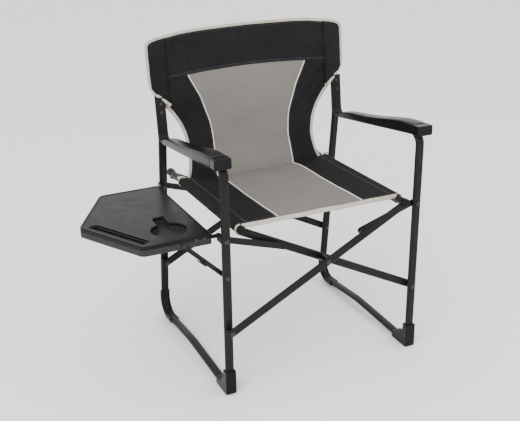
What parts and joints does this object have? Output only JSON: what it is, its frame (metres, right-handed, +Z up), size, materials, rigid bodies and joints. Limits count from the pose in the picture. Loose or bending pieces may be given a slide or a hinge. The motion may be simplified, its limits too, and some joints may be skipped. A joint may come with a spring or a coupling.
{
  "type": "folding chair",
  "caption": "Folding sling armchair with scissor side frames, padded armrests and a hinged drop-leaf side table with a cup recess.",
  "frame": {"origin": "centre of the bottom face of the whole object's box, side table raised, on the floor", "axes": "+Z up; the sitter faces -Y; the side table is on the -X side, at the sitter's right hand"},
  "size_m": [0.897, 0.5792, 0.892],
  "materials": {
    "painted_steel": "satin powder coat",
    "black_plastic": "fine moulded texture",
    "tray_plastic": "fine pebbled texture",
    "rivet_steel": "blackened",
    "woven_fabric": "coarse coated oxford weave"
  },
  "bodies": {
    "left_frame": {"left_front_leg": "painted_steel", "left_rear_post": "painted_steel", "left_arm_tube": "painted_steel", "left_floor_runner": "painted_steel", "left_front_foot": "black_plastic", "left_rear_guard": "black_plastic", "left_armrest_pad": "black_plastic", "left_armrest_cap": "black_plastic", "left_post_plug": "black_plastic", "left_frame_rivets": "rivet_steel", "left_pivot_rivets": "rivet_steel", "left_pivot_washers": "black_plastic", "table_hinge_brackets": "painted_steel", "table_hinge_pins": "rivet_steel", "brace_leg_pivots": "rivet_steel", "back_fabric": "woven_fabric"},
    "right_frame": {"right_front_leg": "painted_steel", "right_rear_post": "painted_steel", "right_arm_tube": "painted_steel", "right_floor_runner": "painted_steel", "right_front_foot": "black_plastic", "right_rear_guard": "black_plastic", "right_armrest_pad": "black_plastic", "right_armrest_cap": "black_plastic", "right_post_plug": "black_plastic", "right_frame_rivets": "rivet_steel", "right_pivot_rivets": "rivet_steel", "right_pivot_washers": "black_plastic"},
    "x1_frame": {"scissor_bar_a_front": "painted_steel", "scissor_bar_a_rear": "painted_steel", "right_seat_rail": "painted_steel", "right_rail_caps": "black_plastic", "centre_pin_front": "rivet_steel", "centre_pin_rear": "rivet_steel", "centre_spacers": "black_plastic", "link_standoff_a": "rivet_steel", "seat_fabric": "woven_fabric"},
    "x2_frame": {"scissor_bar_b_front": "painted_steel", "scissor_bar_b_rear": "painted_steel", "left_seat_rail": "painted_steel", "left_rail_caps": "black_plastic", "link_standoffs_b": "rivet_steel"},
    "left_links": {"left_front_link": "painted_steel", "left_rear_link": "painted_steel"},
    "right_links": {"right_front_link": "painted_steel", "right_rear_link": "painted_steel"},
    "side_table": {"table_tray": "tray_plastic", "table_hinge_arms": "painted_steel", "table_arm_rivets": "rivet_steel", "brace_tray_pivots": "rivet_steel"},
    "brace_uppers": {"brace_upper_front": "painted_steel", "brace_upper_rear": "painted_steel"},
    "brace_lowers": {"brace_lower_front": "painted_steel", "brace_lower_rear": "painted_steel"}
  },
  "joints": [
    {"name": "fold", "type": "hinge", "parent": "left_frame", "child": "x1_frame", "pos_m": [-0.14149, 0.05792, 0.194], "axis": [0, -1, 0], "range_deg": [0, 42.4], "deforming": ["seat_fabric", "back_fabric"]},
    {"name": "x2_scissor", "type": "hinge", "parent": "x1_frame", "child": "x2_frame", "pos_m": [0.13851, 0.05792, 0.337], "axis": [0, -1, 0], "range_deg": [-85.1, 0]},
    {"name": "right_frame_pivot", "type": "hinge", "parent": "x2_frame", "child": "right_frame", "pos_m": [0.41851, 0.05792, 0.194], "axis": [0, -1, 0], "range_deg": [0, 42.7]},
    {"name": "left_link_pivot", "type": "hinge", "parent": "left_frame", "child": "left_links", "pos_m": [-0.14149, 0.05792, 0.447], "axis": [0, -1, 0], "range_deg": [0, 85.53]},
    {"name": "right_link_pivot", "type": "hinge", "parent": "right_frame", "child": "right_links", "pos_m": [0.41851, 0.05792, 0.447], "axis": [0, -1, 0], "range_deg": [-85.53, 0]},
    {"name": "table_hinge", "type": "hinge", "parent": "left_frame", "child": "side_table", "pos_m": [-0.14749, 0.05792, 0.452], "axis": [0, -1, 0], "range_deg": [0, 90]},
    {"name": "brace_upper_pivot", "type": "hinge", "parent": "side_table", "child": "brace_uppers", "pos_m": [-0.24299, 0.05792, 0.444], "axis": [0, -1, 0], "range_deg": [-145.88, 0]},
    {"name": "brace_lower_pivot", "type": "hinge", "parent": "left_frame", "child": "brace_lowers", "pos_m": [-0.14149, 0.05792, 0.345], "axis": [0, -1, 0], "range_deg": [0, 124.72]}
  ],
  "couplings": [
    {"joint": "x2_scissor", "follows": "fold", "ratio": -2},
    {"joint": "right_frame_pivot", "follows": "fold", "ratio": 1},
    {"joint": "left_link_pivot", "follows": "fold", "ratio": 2.0101},
    {"joint": "right_link_pivot", "follows": "fold", "ratio": -2.0101},
    {"joint": "brace_upper_pivot", "follows": "table_hinge", "ratio": -1.6176},
    {"joint": "brace_lower_pivot", "follows": "table_hinge", "ratio": 1.3824}
  ]
}
